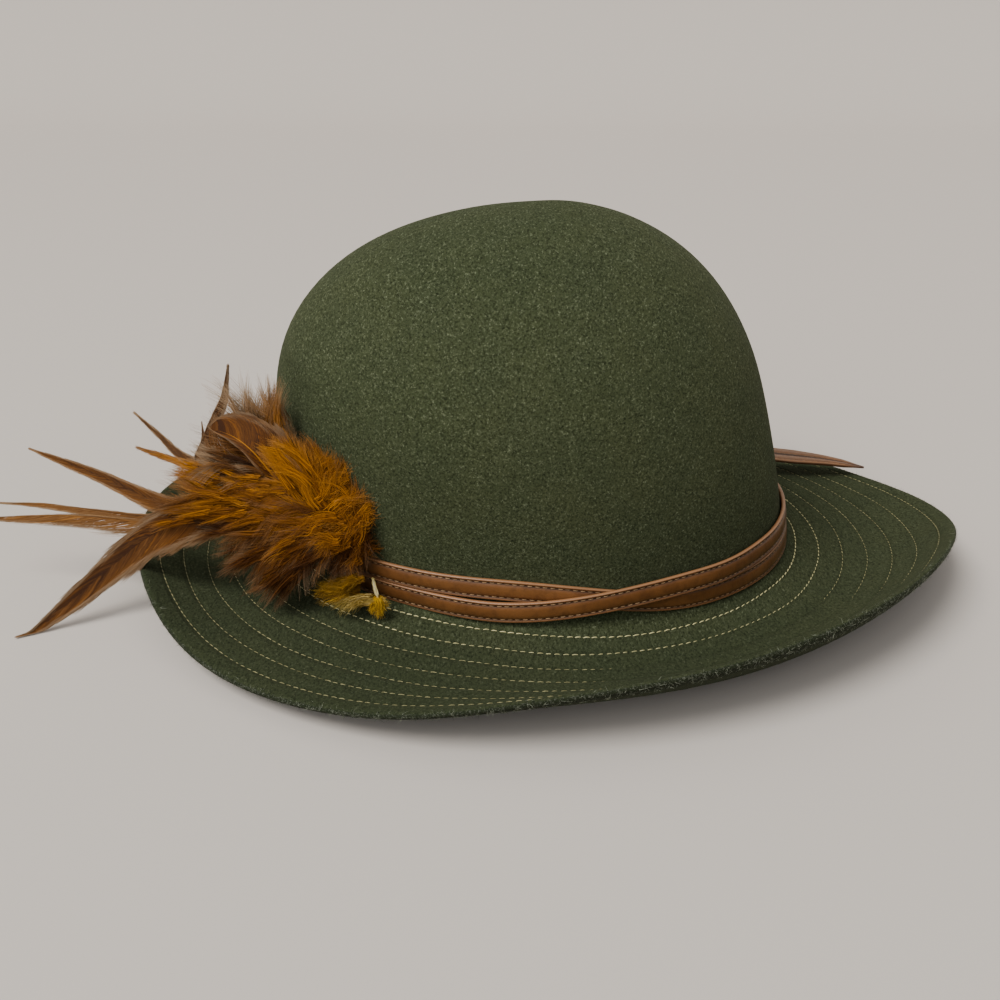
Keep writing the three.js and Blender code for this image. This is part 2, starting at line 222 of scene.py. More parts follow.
def ribbons(lines, sideways):
    """Flat ribbons along many lines: lines (n, m, 3), sideways (n, m, 3) from the middle to one edge."""
    n, m, _ = lines.shape
    points = np.stack([lines - sideways, lines + sideways], axis=2)
    index = np.arange(n * m * 2).reshape(n, m, 2)
    faces = np.stack([index[:, :-1, 0], index[:, :-1, 1], index[:, 1:, 1], index[:, 1:, 0]], axis=-1)
    return points.reshape(-1, 3), faces.reshape(-1, 4)


def sleeve_faces(rows, around, closed=False):
    """Faces over so many rows of points round a form. Where it is closed, the last row joins the first."""
    index = np.arange(rows * around).reshape(rows, around)
    here, there = (index, np.roll(index, -1, axis=0)) if closed else (index[:-1], index[1:])
    faces = np.stack([here, there, np.roll(there, -1, axis=1), np.roll(here, -1, axis=1)], axis=-1)
    return faces.reshape(-1, 4)


def joined(parts):
    """One array of points and one of faces from several pairs."""
    points, faces = zip(*parts)
    starts = np.cumsum([0] + [len(own) for own in points])
    return np.concatenate(points), np.concatenate([own + start for own, start in zip(faces, starts)])


def looped(path):
    """A path with its first point once more at its end."""
    return np.concatenate([path, path[:1]])


def lengths_along(path):
    """How far along a path each of its points lies."""
    return np.concatenate([[0], np.cumsum(np.linalg.norm(np.diff(path, axis=0), axis=1))])


def sampled(rows, places, wanted):
    """Rows of three numbers known at the places, read off at the wanted ones between them."""
    return np.stack([np.interp(wanted, places, rows[:, k]) for k in range(3)], axis=-1)


def between(before, first, second, after, t):
    """Points at shares t of a smooth curve from the first point to the second."""
    return 0.5 * (2 * first + (second - before) * t + (2 * before - 5 * first + 4 * second - after) * t ** 2
                  + (3 * first - before - 3 * second + after) * t ** 3)


def smooth_line(points, count):
    """Points evenly spaced along a smooth curve through the given ones."""
    points = np.asarray(points, float)
    padded = np.concatenate([2 * points[:1] - points[1:2], points, 2 * points[-1:] - points[-2:-1]])
    t = np.linspace(0, 1, 24, endpoint=False)[:, None]
    fine = [between(*padded[k:k + 4], t) for k in range(len(padded) - 3)]
    fine = np.concatenate(fine + [points[-1:]])
    length = lengths_along(fine)
    return sampled(fine, length, np.linspace(0, length[-1], count))


# Material helpers


class Nodes:
    """A short way to write a material's nodes."""

    def __init__(self, name):
        self.material = bpy.data.materials.new(name)
        self.material.use_nodes = True
        self.tree = self.material.node_tree
        self.shader = self.tree.nodes["Principled BSDF"]
        self.place = self.add("ShaderNodeTexCoord").outputs["Object"]

    def add(self, kind, **values):
        return self.set(self.tree.nodes.new(kind), **values)

    def set(self, node, **values):
        """Sets a node's settings and inputs. An input's name has _ for each space."""
        for key, value in values.items():
            if hasattr(node, key):
                setattr(node, key, value)
            else:
                self.link(value, node.inputs[key.replace("_", " ")])
        return node

    def link(self, value, socket):
        if isinstance(value, bpy.types.NodeSocket):
            self.tree.links.new(value, socket)
        else:
            socket.default_value = (*value, 1.0) if socket.type == "RGBA" else value

    def noise(self, scale, detail=3.0, rough=0.55, stretch=None, turn=(0, 0, 0)):
        place = self.place
        if stretch:
            node = self.add("ShaderNodeMapping", Vector=place, Scale=stretch, Rotation=turn)
            place = node.outputs["Vector"]
        node = self.add("ShaderNodeTexNoise", Vector=place, Scale=scale, Detail=detail, Roughness=rough)
        return node.outputs["Fac"]

    def math(self, operation, a, b, clamp=False):
        node = self.add("ShaderNodeMath", operation=operation, use_clamp=clamp)
        self.link(a, node.inputs[0])
        self.link(b, node.inputs[1])
        return node.outputs[0]

    def times(self, a, b):
        return self.math("MULTIPLY", a, b)

    def ramp(self, value, low, high, out_low=0.0, out_high=1.0):
        node = self.add("ShaderNodeMapRange")
        for socket, number in zip(node.inputs[:5], (value, low, high, out_low, out_high)):
            self.link(number, socket)
        return node.outputs["Result"]

    def mix(self, share, a, b):
        node = self.add("ShaderNodeMix", data_type="RGBA")
        for number, value in ((0, share), (6, a), (7, b)):
            self.link(value, node.inputs[number])
        return node.outputs[2]

    def shades(self, tone, three):
        """The first colour at tone 0, the second at 0.5 and the third at 1."""
        colour = self.mix(self.ramp(tone, 0.0, 0.5), three[0], three[1])
        return self.mix(self.ramp(tone, 0.5, 1.0), colour, three[2])

    def values(self, name):
        return self.add("ShaderNodeAttribute", attribute_name=name).outputs["Fac"]

    def bump(self, height, distance, strength=1.0, **under):
        node = self.add("ShaderNodeBump", Height=height, Distance=distance, Strength=strength, **under)
        return node.outputs["Normal"]

    def finish(self, colour, **values):
        self.set(self.shader, Base_Color=colour, **values)
        return self.material


def felt_material():
    n = Nodes("felt")
    colour = n.mix(n.ramp(n.noise(9.0), 0.38, 0.64), (0.037, 0.047, 0.021), (0.050, 0.058, 0.027))
    colour = n.mix(n.ramp(n.noise(55.0), 0.4, 0.65, 0.0, 0.5), colour, (0.032, 0.043, 0.022))
    # Single fibres: three fields of long thin cells that lie in different directions
    first, second, third = (n.noise(1250.0, 2.0, 0.65, stretch=(1.0, 0.5, 1.0), turn=turn)
                            for turn in ((0.3, 0.9, 0.2), (1.2, 0.1, 0.9), (0.7, 2.1, 1.5)))
    light = n.math("MAXIMUM", n.math("MAXIMUM", first, second), third)
    dark = n.math("MINIMUM", n.math("MINIMUM", first, second), third)
    grain = n.noise(1900.0, 3.0, 0.7)
    colour = n.mix(n.ramp(dark, 0.33, 0.45, 0.9, 0.0), colour, (0.006, 0.009, 0.004))
    # Light specks, in patches, and fewer of them on the brim
    patches = n.ramp(n.noise(520.0, 2.0), 0.4, 0.62, 0.35, 1.0)
    brim_nap_and_shade = n.values("brim_nap_and_shade")
    specks = n.times(n.ramp(light, 0.6, 0.72, 0.0, 0.75), patches)
    specks = n.times(specks, n.ramp(brim_nap_and_shade, 0.0, 1.0, 1.0, 0.6))
    colour = n.mix(specks, colour, (0.20, 0.225, 0.135))
    colour = n.mix(n.ramp(grain, 0.35, 0.7, 0.0, 0.45), colour, (0.075, 0.085, 0.04))
    # The brim's nap is pressed flatter, and painted shade makes the brim darker than the crown
    colour = n.mix(n.times(brim_nap_and_shade, 0.26), colour, (0.004, 0.008, 0.005))
    # The needle has pulled the felt in along each row: a bump, and painted shade in the furrow
    furrow_and_shade = n.values("furrow_and_shade")
    colour = n.mix(n.times(furrow_and_shade, 0.3), colour, (0.014, 0.018, 0.008))
    # The cut edge is dark with light fibre ends, and the underside gets painted shade
    cut = n.values("cut_edge")
    colour = n.mix(n.times(cut, 0.75), colour, (0.014, 0.018, 0.010))
    ends = n.times(cut, n.ramp(n.noise(1250.0, 3.0, 0.75), 0.52, 0.68, 0.0, 0.8))
    colour = n.mix(ends, colour, (0.20, 0.215, 0.165))
    colour = n.mix(n.times(n.values("under"), 0.7), colour, (0.005, 0.007, 0.004))
    normal = n.bump(n.times(furrow_and_shade, -1.0), 0.5 * MM)
    normal = n.bump(n.noise(240.0), 0.3 * MM, 0.7, Normal=normal)
    normal = n.bump(n.math("ADD", n.times(light, 0.6), n.times(grain, 0.4)), 0.3 * MM, Normal=normal)
    normal = n.bump(ends, 0.5 * MM, Normal=normal)
    return n.finish(colour, Normal=normal, Roughness=1.0, Sheen_Weight=0.06, Sheen_Roughness=0.5,
                    Sheen_Tint=(0.5, 0.55, 0.3), Specular_IOR_Level=0.08)


def fibre_material():
    n = Nodes("felt_fibre")
    colour = n.mix(n.values("tone"), (0.03, 0.038, 0.018), (0.34, 0.36, 0.27))
    return n.finish(colour, Roughness=0.9, Specular_IOR_Level=0.1)


def thread_material(name, dark, light, scale):
    """tone picks between two colours for a stitch, and the noise mottles it."""
    n = Nodes(name)
    mottle = n.ramp(n.noise(scale, 2.0), 0.3, 0.7, -0.1, 0.3)
    share = n.math("ADD", n.times(n.values("tone"), 0.75), mottle, clamp=True)
    twist = n.noise(2600.0, 1.0, stretch=(1.0, 1.0, 0.4), turn=(0.5, 0.8, 0.2))
    return n.finish(n.mix(share, dark, light), Normal=n.bump(twist, 0.1 * MM), Roughness=0.65,
                    Specular_IOR_Level=0.3)


def leather_material():
    n = Nodes("strap_leather")
    colour = n.mix(n.ramp(n.noise(32.0, 4.0), 0.35, 0.68), (0.15, 0.056, 0.013), (0.225, 0.088, 0.023))
    colour = n.mix(n.ramp(n.noise(260.0, 4.0), 0.42, 0.72, 0.0, 0.6), colour, (0.080, 0.028, 0.008))
    colour = n.mix(n.times(n.values("rim"), 0.65), colour, (0.42, 0.21, 0.10))
    # Painted shade in the stitch furrows, in the seam between the tie's ends and towards their tips
    colour = n.mix(n.times(n.values("furrow_and_shade"), 0.85), colour, (0.028, 0.010, 0.004))
    grain = n.noise(1500.0, 4.0, 0.6)
    wrinkles = n.noise(420.0, 3.0, 0.6, stretch=(1.0, 1.0, 0.35))
    normal = n.bump(wrinkles, 0.14 * MM, 0.7)
    normal = n.bump(grain, 0.06 * MM, 0.7, Normal=normal)
    return n.finish(colour, Normal=normal, Roughness=n.ramp(grain, 0.3, 0.7, 0.34, 0.5),
                    Specular_IOR_Level=0.5, Coat_Weight=0.12, Coat_Roughness=0.3)


def feather_material(name, dyed, natural, tips):
    """tone picks a shade, brown how much of the natural colour shows, along goes from root to tip."""
    n = Nodes(name)
    tone = n.values("tone")
    brown = n.values("brown")
    colour = n.mix(brown, n.shades(tone, dyed), n.shades(tone, natural))
    tip = n.times(n.ramp(n.values("along"), 0.55, 1.0), n.math("ADD", n.times(brown, 0.8), 0.08))
    return n.finish(n.mix(tip, colour, tips), Roughness=0.6, Specular_IOR_Level=0.1)


# Felt


def fine_felt():
    """The frame's felt with its facets smoothed."""
    work = bmesh.new()
    work.from_mesh(felt_node.data)
    bmesh.ops.remove_doubles(work, verts=work.verts, dist=1e-6)
    bmesh.ops.join_triangles(work, faces=work.faces, angle_face_threshold=math.radians(50),
                             angle_shape_threshold=math.radians(60))
    mesh = bpy.data.meshes.new("felt_smooth")
    work.to_mesh(mesh)
    work.free()
    holder = put("felt_smooth", mesh)
    smoother = holder.modifiers.new("smooth", "SUBSURF")
    smoother.levels = smoother.render_levels = 2
    bpy.context.view_layer.update()
    fine = bpy.data.meshes.new_from_object(holder.evaluated_get(bpy.context.evaluated_depsgraph_get()))
    bpy.data.objects.remove(holder)
    fine.polygons.foreach_set("use_smooth", np.ones(len(fine.polygons), bool))
    return fine


felt_mesh = fine_felt()
felt_tree = BVHTree.FromPolygons([v.co for v in felt_mesh.vertices], [p.vertices for p in felt_mesh.polygons])


def head_line(turn):
    """Points of the head line's ellipse and the straight outward directions there."""
    flat = np.zeros_like(turn)
    point = np.stack([HEAD_HALF_LENGTH * np.cos(turn), HEAD_HALF_WIDTH * np.sin(turn), flat], axis=-1)
    out = np.stack([HEAD_HALF_WIDTH * np.cos(turn), HEAD_HALF_LENGTH * np.sin(turn), flat], axis=-1)
    return head_centre + point, unit(out)


def around_head(points):
    """Each point's direction round the head line, and its reach out from that line."""
    offset = points - head_centre
    turn = np.arctan2(offset[:, 1] / HEAD_HALF_WIDTH, offset[:, 0] / HEAD_HALF_LENGTH)
    for _ in range(12):
        foot, out = head_line(turn)
        away = (points - foot)[:, :2]
        slip = dots(away, np.stack([-out[:, 1], out[:, 0]], axis=1))
        reach = dots(away, out[:, :2])
        turn = turn + slip / (HEAD_HALF_WIDTH + np.maximum(reach, 0))
    return turn, reach


def brim_table():
    """Directions, steps outwards, and the felt's own length up to them, which goes on level past the edge."""
    turns = np.arange(TABLE_TURNS) / TABLE_TURNS * FULL_TURN
    feet, outs = head_line(turns)
    steps = np.arange(int(TABLE_REACH / TABLE_STEP)) * TABLE_STEP + TABLE_START
    lengths = np.zeros((TABLE_TURNS, len(steps)))
    for foot, out, row in zip(feet, outs, lengths):
        height = HEAD_LINE_HEIGHT
        for s, step in enumerate(steps):
            x, y, _ = foot + out * step
            hit = felt_tree.ray_cast(Vector((x, y, height + RAY_ABOVE)), DOWN, RAY_LENGTH)[0]
            rise = hit.z - height if hit else 0
            if s:
                row[s] = row[s - 1] + math.hypot(TABLE_STEP, rise)
            height += rise
    return turns, steps, lengths


table_turns, table_steps, table_lengths = brim_table()


def reach_of(length):
    """How far out of the head line each table direction has used up its length of felt."""
    return np.array([np.interp(wanted, row, table_steps) for row, wanted in zip(table_lengths, length)])


def length_at(turn, reach):
    """The felt's length from the head line to points of the brim."""
    column = (turn % FULL_TURN) / FULL_TURN * TABLE_TURNS
    low = np.floor(column).astype(int) % TABLE_TURNS
    share = column - np.floor(column)
    step = np.clip((reach - TABLE_START) / TABLE_STEP, 0, len(table_steps) - 2)
    whole = np.floor(step).astype(int)
    part = step - whole

    def pick(k):
        return table_lengths[k, whole] * (1 - part) + table_lengths[k, whole + 1] * part

    return pick(low) * (1 - share) + pick((low + 1) % TABLE_TURNS) * share


def survey_felt():
    """The felt's points and normals, with each point's direction, reach, length along the felt and how far it
    faces outwards."""
    points = mesh_values(felt_mesh)
    normals = mesh_values(felt_mesh, "normal")
    turn, reach = around_head(points)
    return points, normals, turn, reach, length_at(turn, reach), dots(normals, head_line(turn)[1])


# How each row of stitches looks, in millimetres: a stitch's length, the thread's radius and brightness, how
# deep it lies in the felt, how far the row lies forward in front, and how much nap covers it where worn.
STITCH_COLUMNS = ("length", "radius", "tone", "sunk", "forward", "worn")
STITCH_ROWS = [dict(zip(STITCH_COLUMNS, row)) for row in (
    (2.5, 0.22, 0.95, -0.02, 2.2, 0.0),
    (2.55, 0.18, 0.72, 0.02, 0.8, 0.25),
    (2.85, 0.13, 0.38, 0.03, 0, 0.85),
    (2.9, 0.12, 0.32, 0.03, 0, 1.0),
    (2.9, 0.12, 0.32, 0.03, 0, 1.0),
    (2.9, 0.12, 0.32, 0.03, 0, 1.0),
    (2.85, 0.13, 0.36, 0.03, 0, 1.0),
)]


def row_places(row, turn):
    """How far out along the felt a row lies in a direction. The first rows lie further out in front."""
    away = np.abs((np.degrees(turn) - ROW_FRONT + 180) % 360 - 180)
    front = np.where(away < ROW_FRONT_HALF, (1 + np.cos(np.pi * away / ROW_FRONT_HALF)) / 2, 0)
    return ROW_FIRST + ROW_SPACING * row + front * (STITCH_ROWS[row]["forward"] * MM)


def dress_felt():
    """The felt with the values that its material reads."""
    points, normals, turn, reach, length, facing = survey_felt()
    upwards = normals[:, 2]
    # Where the rows pull the felt in: drives the furrow's bump and its painted shade
    furrow_and_shade = np.zeros(len(points))
    for row in range(len(STITCH_ROWS)):
        furrow_and_shade = np.maximum(furrow_and_shade, np.exp(-((length - row_places(row, turn)) / FURROW_HALF) ** 2))
    edge = np.clip((length - (BRIM_WIDTH - CUT_EDGE)) / MM, 0, 1) * np.clip((facing - 0.25) / 0.3, 0, 1)
    add_values(felt_mesh, "furrow_and_shade", np.where((upwards > 0.2) & (reach > 0), furrow_and_shade, 0))
    # Out along the brim: fewer specks for its pressed nap, and painted shade
    add_values(felt_mesh, "brim_nap_and_shade", np.clip(reach / NAP_AND_SHADE_REACH, 0, 1))
    add_values(felt_mesh, "cut_edge", np.where(reach > OUTER_BRIM, edge, 0))
    # under: painted shade on the brim's downward-facing felt, out past the crown
    add_values(felt_mesh, "under", np.where(reach > 10 * MM, np.clip(0.1 - upwards * 2.5, 0, 1), 0))
    show("felt_hat", felt_mesh, felt_material(), ["felt_body"])


def felt_below(x, y):
    """The felt's height and normal under a place on the brim."""
    start = FAR_RAY if math.hypot(x - head_centre[0], y - head_centre[1]) > NEAR_CROWN else NEAR_RAY
    hit, normal, _, _ = felt_tree.ray_cast(Vector((x, y, start)), DOWN, FAR_RAY)
    return hit.z, np.array(normal)


def waves(random, angle, counts):
    """A sum of waves round the hat, each with its own random start."""
    return sum(np.sin(angle * k + random.uniform(0, 6.3)) for k in counts)


def stitches_round(points, ups, pitch, stray, random, sizes):
    """Stitches along a closed path: their lines, the ways up there, and the shares of the path's points where
    they start. sizes gives the lengths of so many stitches."""
    path = looped(points)
    length = lengths_along(path)
    count = int(round(length[-1] / pitch))
    starts = np.arange(count) * length[-1] / count + random.normal(0, stray, count)
    wanted = (starts[:, None] + np.linspace(0, 1, STITCH_POINTS) * sizes(count)[:, None]) % length[-1]
    shares = np.interp(starts % length[-1], length, np.linspace(0, 1, len(path)))
    return sampled(path, length, wanted), unit(sampled(looped(ups), length, wanted)), shares


def stitch_row(row, random):
    """One row's stitches: their lines, the felt's normals there, and how frayed and covered each one is."""
    look = STITCH_ROWS[row]
    reach = reach_of(row_places(row, table_turns))
    wander = STITCH_WANDER * waves(random, table_turns, (5, 9, 14))
    feet, outs = head_line(table_turns)
    path = feet + outs * (reach + wander)[:, None]
    path[:, 2], ups = zip(*(felt_below(x, y) for x, y, _ in path))
    lines, ups, shares = stitches_round(
        path, np.array(ups), STITCH_PITCH, STITCH_STRAY, random,
        lambda count: look["length"] * MM * random.uniform(0.88, 1.08, count))
    frayed = np.clip(0.5 + 0.5 * waves(random, shares * FULL_TURN, (7, 16, 31, 53)) / 2.2, 0, 1)
    covered = np.minimum(shares * 360 - WORN[0], WORN[1] - shares * 360) / WORN_FADE
    return lines, ups, frayed, np.clip(covered, 0, 1) * look["worn"]


def threads(name, lines, radii, tones, material, normals):
    """Stitches, each a tube along its line with a tone of its own."""
    mesh = make_mesh(name, *tubes(lines, radii, normals))
    add_values(mesh, "tone", np.repeat(tones, STITCH_POINTS * TUBE_SIDES))
    show(name, mesh, material)


def brim_stitches():
    """All rows. Each stitch is arched out of the felt between its ends and slants a little across its row."""
    random = np.random.default_rng(12)
    arch = np.array([-0.2, 0.08, 0.16, 0.08, -0.2]) * MM
    slant = STITCH_SLANT * np.linspace(1, -1, STITCH_POINTS)[:, None]
    rows = []
    for row, look in enumerate(STITCH_ROWS):
        line, up, frayed, covered = stitch_row(row, random)
        count = len(line)
        hidden = 0.45 * covered ** 2 + (0.07 if row else 0) * frayed
        deep = (look["sunk"] + hidden + random.normal(0, 0.03, count)) * MM
        line = line + up * (arch - deep[:, None])[:, :, None]
        line = line + unit(np.cross(line[:, -1:] - line[:, :1], up)) * slant
        thick = look["radius"] * MM * random.uniform(0.85, 1.12, (count, 1))
        radii = thick * np.array([0.45, 1.0, 1.05, 1.0, 0.45])
        tone = look["tone"] - 0.2 * covered - 0.15 * frayed + random.normal(0, 0.1, count)
        rows.append((line, radii, np.clip(tone, 0, 1), up))
    lines, radii, tones, ups = (np.concatenate(column) for column in zip(*rows))
    material = thread_material("brim_thread", (0.10, 0.09, 0.03), (0.72, 0.66, 0.34), 900.0)
    threads("brim_stitches", lines, radii, tones, material, ups)


def felt_fibres():
    """Short raised fibres, most of them along the cut edge."""
    random = np.random.default_rng(13)
    points, normals, _, reach, length, facing = survey_felt()
    edge = np.flatnonzero((length > BRIM_WIDTH - EDGE_BAND) & (reach > OUTER_BRIM) & (facing > 0.3))
    shown = np.flatnonzero((points[:, 2] > 9 * MM) | (normals[:, 2] > 0.3))
    chosen = np.concatenate([random.choice(edge, EDGE_FIBRES), random.choice(shown, NAP_FIBRES)])
    count = len(chosen)
    is_edge = np.arange(count) < EDGE_FIBRES
    base = points[chosen] + random.normal(0, FIBRE_SPREAD, (count, 3))
    for k in range(count):
        base[k], normals[chosen[k]] = felt_tree.find_nearest(Vector(base[k]))[:2]
    up = normals[chosen]
    lean = unit(np.cross(up, random.normal(0, 1, (count, 3))))
    size = np.where(is_edge, random.uniform(0.5, 1.5, count), random.uniform(0.35, 0.9, count)) * MM
    rise = np.where(is_edge, random.uniform(0.25, 0.8, count), random.uniform(0.12, 0.45, count))
    share = np.linspace(0, 1, 4)[:, None]
    first = unit(lean + up * rise[:, None])[:, None, :]
    bend = (random.normal(0, 0.35, (count, 3)) - 0.3 * up)[:, None, :]
    lines = base[:, None, :] + size[:, None, None] * (first * share + bend * share ** 2)
    lines[:, :, 2] = np.maximum(lines[:, :, 2], 0.1 * MM)
    thick = np.where(is_edge, 0.035, 0.028)[:, None] * MM * np.array([1, 0.9, 0.7, 0.3])
    side = unit(np.cross(first, random.normal(0, 1, (count, 1, 3)))) * thick[:, :, None]
    mesh = make_mesh("felt_fibres", *ribbons(lines, side))
    tone = np.where(is_edge, random.uniform(0.0, 1.1, count) ** 1.5, random.uniform(0.0, 0.75, count) ** 2)
    add_values(mesh, "tone", np.repeat(tone, 8))
    show("felt_fibres", mesh, fibre_material())


# Straps


def strap_rings(node_name):
    """For each ring of the frame's strap: its middle, the way across the leather and the way outwards."""
    points = np.unique(np.round(mesh_values(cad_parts[node_name].data), 7), axis=0)
    ring = np.round(around_head(points)[0] / FULL_TURN * STRAP_RINGS).astype(int) % STRAP_RINGS
    rings = []
    for k in range(STRAP_RINGS):
        own = points[ring == k]
        by_height = own[np.argsort(own[:, 2])]
        out = head_line(np.array([k / STRAP_RINGS * FULL_TURN]))[1][0]
        low, high = (pair[np.argmin((pair - head_centre) @ out)] for pair in (by_height[:2], by_height[-2:]))
        up = unit(high - low)
        rings.append(((low + high) / 2, up, unit(out - up * (out @ up))))
    return (np.array(column) for column in zip(*rings))


def finer(ring_values):
    """Values between the rings, on a smooth closed curve."""
    before, after, beyond = (np.roll(ring_values, k, axis=0) for k in (1, -1, -2))
    t = (np.arange(STRAP_FINE) / STRAP_FINE)[:, None]
    return np.concatenate([between(*four, t) for four in zip(before, ring_values, after, beyond)])


def strap_profile():
    """Half of the leather's outer face, from its middle to its edge: across, out, rim and the painted shade
    of the stitch furrow.
    """
    half = STRAP_WIDTH / 2
    seam = (half - STRAP_STITCH_INSET) / half
    rows = [(0, 1, 0, 0), (.25, .98, 0, 0), (.42, .92, 0, 0), (seam - .12, .82, 0, .25),
            (seam - .06, .74, 0, .9), (seam, .7, 0, 1), (seam + .06, .72, .1, .9), (seam + .13, .84, .1, .2),
            (.9, .9, .3, 0), (.95, .84, .8, 0), (.985, .7, 1, 0), (1, .48, .8, 0), (.985, .2, .3, 0),
            (.93, .03, .1, 0)]
    return [(a * half, o * STRAP_THICK, rim, furrow_and_shade) for a, o, rim, furrow_and_shade in rows]


def mirrored(rows):
    """The rows of a profile on its other side."""
    return [(-across, *rest) for across, *rest in rows]


def leather_piece(name, points, faces, rim, furrow_and_shade, material, node_name):
    mesh = make_mesh(name, points, faces)
    add_values(mesh, "rim", rim)
    add_values(mesh, "furrow_and_shade", furrow_and_shade)
    work = bmesh.new()
    work.from_mesh(mesh)
    bmesh.ops.recalc_face_normals(work, faces=work.faces)
    work.to_mesh(mesh)
    work.free()
    show(name, mesh, material, [node_name])


def strap(side, seed, material, thread):
    """One strap, with a row of stitches along both edges."""
    random = np.random.default_rng(seed)
    name = "strap_leather_" + side
    middles, ups, outs = (finer(values) for values in strap_rings("strap_" + side))
    ups = unit(ups)
    outs = unit(outs)
    half = strap_profile()
    across, out, rim, furrow_and_shade = (np.array(column) for column in zip(*half[::-1], *mirrored(half[1:])))
    rings = len(middles)
    points = middles[:, None, :] + ups[:, None, :] * across[:, None] + outs[:, None, :] * out[:, None]
    leather_piece(name, points.reshape(-1, 3), sleeve_faces(rings, len(across), closed=True),
                  np.tile(rim, rings), np.tile(furrow_and_shade, rings), material, "strap_" + side)
    arch = np.array([-0.16, 0.06, 0.1, 0.06, -0.16])[:, None] * MM
    lines, normals = [], []
    for edge in (-1, 1):
        path = middles + ups * edge * (STRAP_WIDTH / 2 - STRAP_STITCH_INSET) + outs * 0.73 * STRAP_THICK
        line, up, _ = stitches_round(path, outs, STRAP_STITCH_PITCH, STRAP_STITCH_STRAY, random,
                                     lambda count: np.full(count, STRAP_STITCH))
        lines.append(line + up * arch)
        normals.append(up)
    lines = np.concatenate(lines)
    radii = np.broadcast_to(STRAP_THREAD_RADII, lines.shape[:2])
    tones = random.uniform(0.3, 1.0, len(lines))
    threads(name + "_stitches", lines, radii, tones, thread, np.concatenate(normals))


# Tie behind the crown

TIE_HALF = 4 * MM
TIE_THICK = 1.8 * MM
TIE_TURN = 55  # degrees from +X towards +Y, where the straps cross behind the crown
TIE_BESIDE = 1.02  # how far each end lies beside the seam between them, in its half widths

# The seam between the ends, in millimetres from the middle of the head
TIE_SEAM = [(61, 71, 12.5), (76, 71, 15), (91, 69.5, 15.4), (103, 69, 14.4), (116, 68.8, 12.8),
            (129, 68.4, 11.6), (142, 66.5, 10.6), (158, 61.5, 9.3)]

# Half of an end's section, from the outer face's middle to the inner face's: across, out, rim, painted shade
# in the furrow
TIE_SECTION = [(0, .5, 0, 0), (.42, .5, 0, 0), (.58, .42, 0, .3), (.66, .36, 0, .6), (.74, .42, .1, .3),
               (.86, .46, .6, 0), (.96, .3, .8, .1), (1, 0, .3, .8), (.97, -.38, .1, .6), (.86, -.5, 0, .2),
               (.45, -.5, 0, 0), (0, -.5, 0, 0)]


def tie_end(beside):
    """One of the two pointed ends: its faces, its rim values and painted shade, and its stitches."""
    steps = 70
    ring = TIE_SECTION + mirrored(TIE_SECTION[-2:0:-1])
    a, o, rim, furrow_and_shade = (np.array(column) for column in zip(*ring))
    # The faces where the two ends meet get full painted shade, a dark seam between them
    inner = a * beside < -0.7
    rim, furrow_and_shade = np.where(inner, 0, rim), np.where(inner, 1, furrow_and_shade)
    seam = smooth_line([at(*p) for p in TIE_SEAM], steps)
    along = unit(np.gradient(seam, axis=0))
    across = unit(np.cross(unit(np.array([0.15, 0, 1.0])), along))
    up = np.cross(along, across)
    t = np.linspace(0, 1, steps)
    width = np.maximum(TIE_HALF * np.clip((1 - t) / 0.34, 0, 1) ** 0.6, 0.3 * MM)
    line = seam + across * (beside * width)[:, None]
    thick = TIE_THICK * np.clip((1 - t) / 0.1, 0.4, 1)
    points = (line[:, None, :] + across[:, None, :] * (a * width[:, None])[:, :, None]
              + up[:, None, :] * (o * thick[:, None])[:, :, None])
    stitches = []
    for side in (-1, 1):
        path = (line + across * (side * 0.64 * width)[:, None] + up * 0.62 * MM)[:int(steps * 0.93)]
        length = lengths_along(path)
        starts = np.arange(0, length[-1] - STRAP_STITCH_PITCH, STRAP_STITCH_PITCH)
        wanted = starts[:, None] + np.linspace(0, 0.78, STITCH_POINTS) * STRAP_STITCH_PITCH
        stitches.append(sampled(path, length, wanted))
    # Towards the tip the rim fades and the painted shade grows
    tip = np.repeat(np.clip((t - 0.9) / 0.08, 0, 0.85), len(ring))
    values = np.stack([np.tile(rim, steps) * (1 - tip), np.maximum(np.tile(furrow_and_shade, steps), tip)], axis=1)
    return (points.reshape(-1, 3), sleeve_faces(steps, len(ring))), values, np.concatenate(stitches)


def tie_wrap():
    """The folded leather round the crossing: a rounded pad over the straps with a few upright folds."""
    rows, around = 40, 28
    t = np.linspace(0, 1, rows)
    feet, outs = head_line(math.radians(TIE_TURN) + math.radians(7) * (2 * t - 1))
    angle = np.arange(around) / around * FULL_TURN
    swell = np.sin(np.pi * np.clip(t, 0.004, 0.996)) ** 0.35
    points = np.zeros((rows, around, 3))
    for r in range(rows):
        for k in range(around):
            height = max(HEAD_LINE_HEIGHT + (8.9 + 7.5 * math.cos(angle[k]) * swell[r]) * MM, 10 * MM)
            x, y, _ = feet[r] + outs[r] * 30 * MM
            hit = felt_tree.ray_cast(Vector((x, y, height)), Vector(-outs[r]), 60 * MM)[0]
            fold = 0.35 * math.sin(t[r] * 26 + 1.5 * math.sin(angle[k])) * max(math.sin(angle[k]), 0)
            off = 4.35 + 1.3 * math.sin(angle[k]) * swell[r] + fold * swell[r]
            points[r, k] = np.array(hit) + outs[r] * off * MM
    return (points.reshape(-1, 3), sleeve_faces(rows, around)), np.zeros((rows * around, 2))


